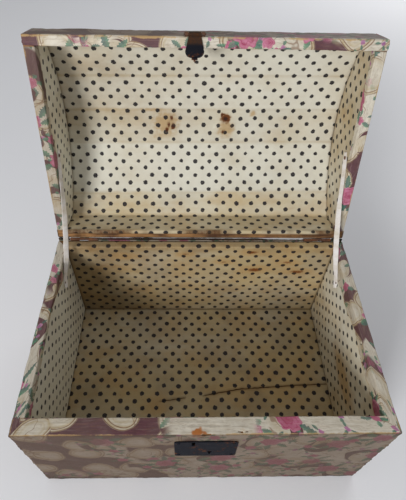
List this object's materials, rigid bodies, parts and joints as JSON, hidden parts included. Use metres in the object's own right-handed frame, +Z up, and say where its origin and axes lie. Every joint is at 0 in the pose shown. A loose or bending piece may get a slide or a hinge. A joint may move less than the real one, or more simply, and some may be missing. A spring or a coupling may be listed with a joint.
{
  "type": "dome top trunk",
  "caption": "Small board trunk with an arched lid hinged at the back, cloth covered, paper lined, with lid tapes, hasp, lock and top handle.",
  "frame": {"origin": "middle of the flat underside of the box", "axes": "+Z up, -Y towards the front with the lock, +X to the right of someone facing the front"},
  "size_m": [0.356, 0.3546, 0.384],
  "materials": {
    "bare_board": "old bare softwood",
    "printed_cloth": "printed floral cloth, worn",
    "dotted_paper": "cream paper with dark dots",
    "cotton_tape": "white cotton tape",
    "black_iron": "black japanned iron",
    "rusty_iron": "rusted sheet iron and wire"
  },
  "bodies": {
    "box": {"bottom_board": "bare_board", "front_board": "bare_board", "back_board": "bare_board", "left_end_board": "bare_board", "right_end_board": "bare_board", "body_nails": "rusty_iron", "bottom_nails": "rusty_iron", "body_covering": "printed_cloth", "floor_lining": "dotted_paper", "front_lining": "dotted_paper", "back_lining": "dotted_paper", "left_end_lining": "dotted_paper", "right_end_lining": "dotted_paper", "lock_plate": "black_iron", "lock_case": "rusty_iron", "lock_spring": "rusty_iron", "lock_pins": "black_iron", "hinge_box_nails": "rusty_iron", "stay_box_tacks": "rusty_iron", "left_hinge_box_leaf": "rusty_iron", "left_hinge_pin": "rusty_iron", "left_lid_stay": "cotton_tape", "right_hinge_box_leaf": "rusty_iron", "right_hinge_pin": "rusty_iron", "right_lid_stay": "cotton_tape"},
    "lid": {"lid_front_board": "bare_board", "lid_back_board": "bare_board", "lid_left_end_board": "bare_board", "lid_right_end_board": "bare_board", "dome_sheet": "bare_board", "lid_corner_nails": "rusty_iron", "dome_nails": "rusty_iron", "lid_dome_covering": "printed_cloth", "lid_left_end_covering": "printed_cloth", "lid_right_end_covering": "printed_cloth", "lid_dome_lining": "dotted_paper", "lid_left_end_lining": "dotted_paper", "lid_right_end_lining": "dotted_paper", "hinge_lid_nails": "rusty_iron", "hasp_leaf": "rusty_iron", "hasp_leaf_nails": "rusty_iron", "hasp_pin": "rusty_iron", "handle_washers": "rusty_iron", "stay_lid_tacks": "rusty_iron", "left_hinge_lid_leaf": "rusty_iron", "left_handle_eye": "rusty_iron", "right_hinge_lid_leaf": "rusty_iron", "right_handle_eye": "rusty_iron"},
    "hasp": {"hasp_tongue": "black_iron", "hasp_staple": "rusty_iron"},
    "handle": {"handle_bail": "rusty_iron"},
    "bolt": {"lock_bolt": "rusty_iron"}
  },
  "joints": [
    {"name": "lid_swing", "type": "hinge", "parent": "box", "child": "lid", "pos_m": [0, 0.1178, 0.1532], "axis": [1, 0, 0], "range_deg": [0, 105], "deforming": ["left_lid_stay", "right_lid_stay"]},
    {"name": "hasp_swing", "type": "hinge", "parent": "lid", "child": "hasp", "pos_m": [-0.012, 0.17783, 0.38186], "axis": [1, 0, 0], "range_deg": [-110, 0]},
    {"name": "handle_swing", "type": "hinge", "parent": "lid", "child": "handle", "pos_m": [-0.007, 0.23252, 0.24442], "axis": [1, 0, 0], "range_deg": [-15, 165]},
    {"name": "lock_bolt_slide", "type": "slide", "parent": "box", "child": "bolt", "axis": [-1, 0, 0], "range_m": [0, 0.006]}
  ],
  "couplings": [
    {"joint": "hasp_swing", "follows": "lid_swing", "ratio": -1.0476}
  ]
}
